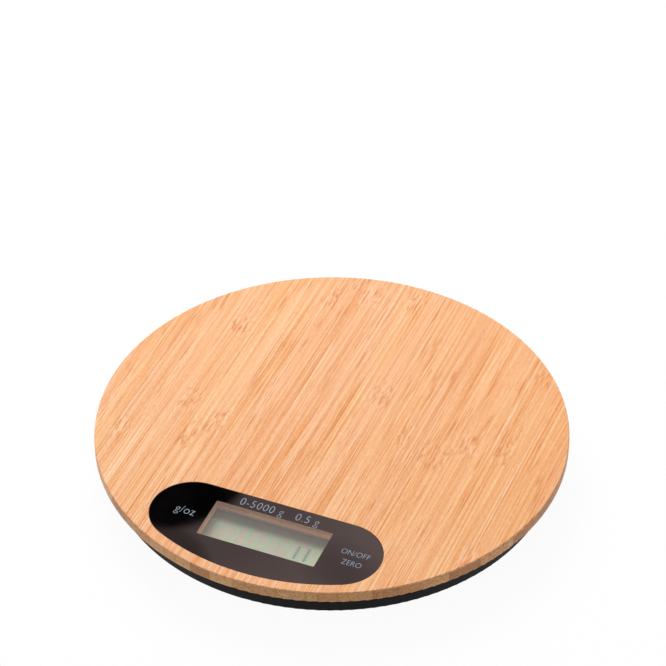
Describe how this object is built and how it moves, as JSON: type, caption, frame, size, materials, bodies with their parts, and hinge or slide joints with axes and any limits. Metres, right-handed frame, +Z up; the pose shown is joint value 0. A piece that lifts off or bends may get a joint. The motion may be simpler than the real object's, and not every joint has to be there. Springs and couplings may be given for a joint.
{
  "type": "kitchen scale",
  "caption": "Round bamboo weighing disc on a slim black base, with a flush glossy display panel, touch keys, load-cell feet and a hinged battery door.",
  "frame": {"origin": "on the table under the middle of the disc, at the underside of the foot pads", "axes": "+Z up, out of the weighing face; -Y towards the display and the user; X along the display"},
  "size_m": [0.2, 0.2, 0.017],
  "materials": {
    "bamboo": "oiled bamboo, strips glued side by side, grain along Y",
    "panel_black": "polished black acrylic with pale printed legends",
    "clear_acrylic": "clear polished acrylic",
    "base_black": "black moulded plastic, fine satin grain",
    "tape": "double-sided adhesive sheet",
    "foam": "closed-cell foam",
    "lcd": "reflective liquid crystal cell, grey-green",
    "holder_white": "white moulded plastic",
    "zebra": "layered conductive rubber",
    "board_green": "fibreglass board with green mask",
    "resin": "black epoxy",
    "component": "moulded chip and ceramic capacitor bodies",
    "socket": "natural nylon",
    "conductive_rubber": "conductive rubber",
    "steel": "zinc-plated steel",
    "sensor_steel": "nickel-plated spring steel",
    "gauge_coat": "white silicone coat",
    "lead_skin": "grey flexible sleeve",
    "cell_metal": "nickel-plated steel can",
    "foot_black": "black moulded plastic",
    "pad_rubber": "soft rubber"
  },
  "bodies": {
    "housing": {"bamboo_platform": "bamboo", "display_panel": "panel_black", "display_window": "clear_acrylic", "panel_tape": "tape", "lcd_gasket": "foam", "lcd_cell": "lcd", "lcd_holder": "holder_white", "zebra_strip": "zebra", "main_board": "board_green", "chip_blob": "resin", "board_components": "component", "board_sockets": "socket", "touch_plugs": "conductive_rubber", "board_screws": "steel", "base_shell": "base_black", "base_screws": "steel", "battery_leads": "lead_skin", "coin_cell": "cell_metal", "battery_negative_contact": "cell_metal", "battery_positive_contact": "cell_metal", "load_plate_front_left": "sensor_steel", "sensor_ring_front_left": "holder_white", "gauge_coat_front_left": "gauge_coat", "sensor_lead_front_left": "lead_skin", "load_plate_front_right": "sensor_steel", "sensor_ring_front_right": "holder_white", "gauge_coat_front_right": "gauge_coat", "sensor_lead_front_right": "lead_skin", "load_plate_rear_left": "sensor_steel", "sensor_ring_rear_left": "holder_white", "gauge_coat_rear_left": "gauge_coat", "sensor_lead_rear_left": "lead_skin", "load_plate_rear_right": "sensor_steel", "sensor_ring_rear_right": "holder_white", "gauge_coat_rear_right": "gauge_coat", "sensor_lead_rear_right": "lead_skin"},
    "front_left_foot": {"foot_front_left": "foot_black", "foot_pad_front_left": "pad_rubber"},
    "front_right_foot": {"foot_front_right": "foot_black", "foot_pad_front_right": "pad_rubber"},
    "rear_left_foot": {"foot_rear_left": "foot_black", "foot_pad_rear_left": "pad_rubber"},
    "rear_right_foot": {"foot_rear_right": "foot_black", "foot_pad_rear_right": "pad_rubber"},
    "door": {"battery_door": "base_black"}
  },
  "joints": [
    {"name": "front_left_foot_press", "type": "slide", "parent": "housing", "child": "front_left_foot", "axis": [0, 0, 1], "range_m": [0, 0.0005], "stiffness_N_per_m": 1500, "springref_m": -0.001, "deforming": ["load_plate_front_left"]},
    {"name": "front_right_foot_press", "type": "slide", "parent": "housing", "child": "front_right_foot", "axis": [0, 0, 1], "range_m": [0, 0.0005], "stiffness_N_per_m": 1500, "springref_m": -0.001, "deforming": ["load_plate_front_right"]},
    {"name": "rear_left_foot_press", "type": "slide", "parent": "housing", "child": "rear_left_foot", "axis": [0, 0, 1], "range_m": [0, 0.0005], "stiffness_N_per_m": 1500, "springref_m": -0.001, "deforming": ["load_plate_rear_left"]},
    {"name": "rear_right_foot_press", "type": "slide", "parent": "housing", "child": "rear_right_foot", "axis": [0, 0, 1], "range_m": [0, 0.0005], "stiffness_N_per_m": 1500, "springref_m": -0.001, "deforming": ["load_plate_rear_right"]},
    {"name": "battery_door_hinge", "type": "hinge", "parent": "housing", "child": "door", "pos_m": [0, 0.0587, 0.0034], "axis": [1, 0, 0], "range_deg": [0, 60]}
  ]
}
